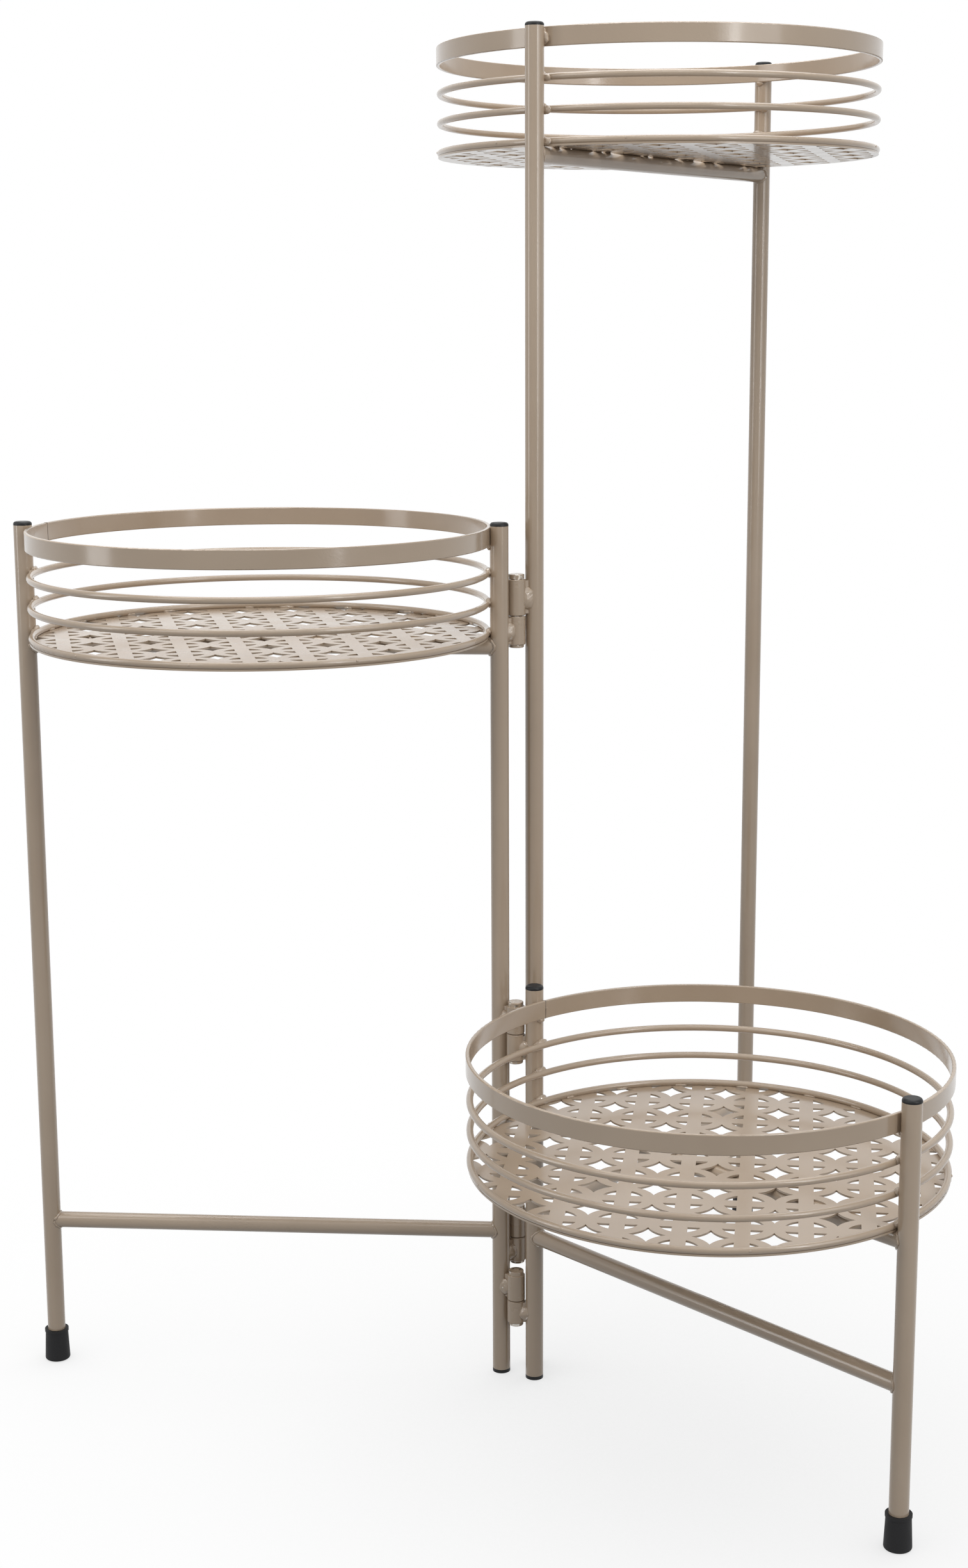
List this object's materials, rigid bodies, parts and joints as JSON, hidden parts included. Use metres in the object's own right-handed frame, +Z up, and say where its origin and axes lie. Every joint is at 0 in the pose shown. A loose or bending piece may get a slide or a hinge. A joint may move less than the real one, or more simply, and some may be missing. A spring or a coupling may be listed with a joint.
{
  "type": "plant table",
  "caption": "Folding tiered plant table: round perforated baskets at stepped heights on tube frames that swing on weld-on hinges.",
  "frame": {"origin": "on the floor, under the middle of the whole table's bounding box, with the frames opened as in the picture", "axes": "+Z up, the middle frame in the XZ plane with its hinge post towards +X, and the pictured side facing -Y"},
  "size_m": [0.5021, 0.4678, 0.74],
  "materials": {
    "frame_paint": "satin warm taupe powder coat on steel tube",
    "band_paint": "satin warm taupe powder coat on flat steel band",
    "wire_paint": "satin warm taupe powder coat on steel wire",
    "plate_paint": "satin warm taupe powder coat on perforated steel sheet",
    "knuckle_paint": "satin warm taupe powder coat on turned steel",
    "pin_paint": "powder coat, worn brighter at the ends",
    "plug_plastic": "moulded black plastic",
    "foot_rubber": "moulded black rubber"
  },
  "bodies": {
    "mid_frame": {"mid_post_hinge": "frame_paint", "mid_post_free": "frame_paint", "mid_rail": "frame_paint", "mid_stretcher": "frame_paint", "mid_band": "band_paint", "mid_ring_upper": "wire_paint", "mid_ring_lower": "wire_paint", "mid_hoop": "wire_paint", "mid_plate": "plate_paint", "mid_cap_hinge": "plug_plastic", "mid_cap_free": "plug_plastic", "mid_floor_plug": "plug_plastic", "mid_foot": "foot_rubber", "hinge_tall_upper_pin": "pin_paint", "hinge_tall_lower_pin": "pin_paint", "hinge_low_upper_pin": "pin_paint", "hinge_low_lower_pin": "pin_paint", "hinge_tall_upper_knuckle_base": "knuckle_paint", "hinge_tall_lower_knuckle_base": "knuckle_paint", "hinge_low_upper_knuckle_top": "knuckle_paint", "hinge_low_lower_knuckle_top": "knuckle_paint"},
    "tall_frame": {"tall_post_hinge": "frame_paint", "tall_post_free": "frame_paint", "tall_rail": "frame_paint", "tall_stretcher": "frame_paint", "tall_band": "band_paint", "tall_ring_upper": "wire_paint", "tall_ring_lower": "wire_paint", "tall_hoop": "wire_paint", "tall_plate": "plate_paint", "tall_cap_hinge": "plug_plastic", "tall_cap_free": "plug_plastic", "tall_floor_plug": "plug_plastic", "tall_foot": "foot_rubber", "hinge_tall_upper_knuckle_top": "knuckle_paint", "hinge_tall_lower_knuckle_top": "knuckle_paint"},
    "low_frame": {"low_post_hinge": "frame_paint", "low_post_free": "frame_paint", "low_rail": "frame_paint", "low_stretcher": "frame_paint", "low_band": "band_paint", "low_ring_upper": "wire_paint", "low_ring_lower": "wire_paint", "low_hoop": "wire_paint", "low_plate": "plate_paint", "low_cap_hinge": "plug_plastic", "low_cap_free": "plug_plastic", "low_floor_plug": "plug_plastic", "low_foot": "foot_rubber", "hinge_low_upper_knuckle_base": "knuckle_paint", "hinge_low_lower_knuckle_base": "knuckle_paint"}
  },
  "joints": [
    {"name": "tall_fold", "type": "hinge", "parent": "mid_frame", "child": "tall_frame", "pos_m": [0.02282, -0.00723, 0.2565], "axis": [0, 0, 1], "range_deg": [-25.5, 118.9]},
    {"name": "low_fold", "type": "hinge", "parent": "mid_frame", "child": "low_frame", "pos_m": [0.02282, -0.01923, 0.1245], "axis": [0, 0, 1], "range_deg": [-135.9, 8.5]}
  ]
}
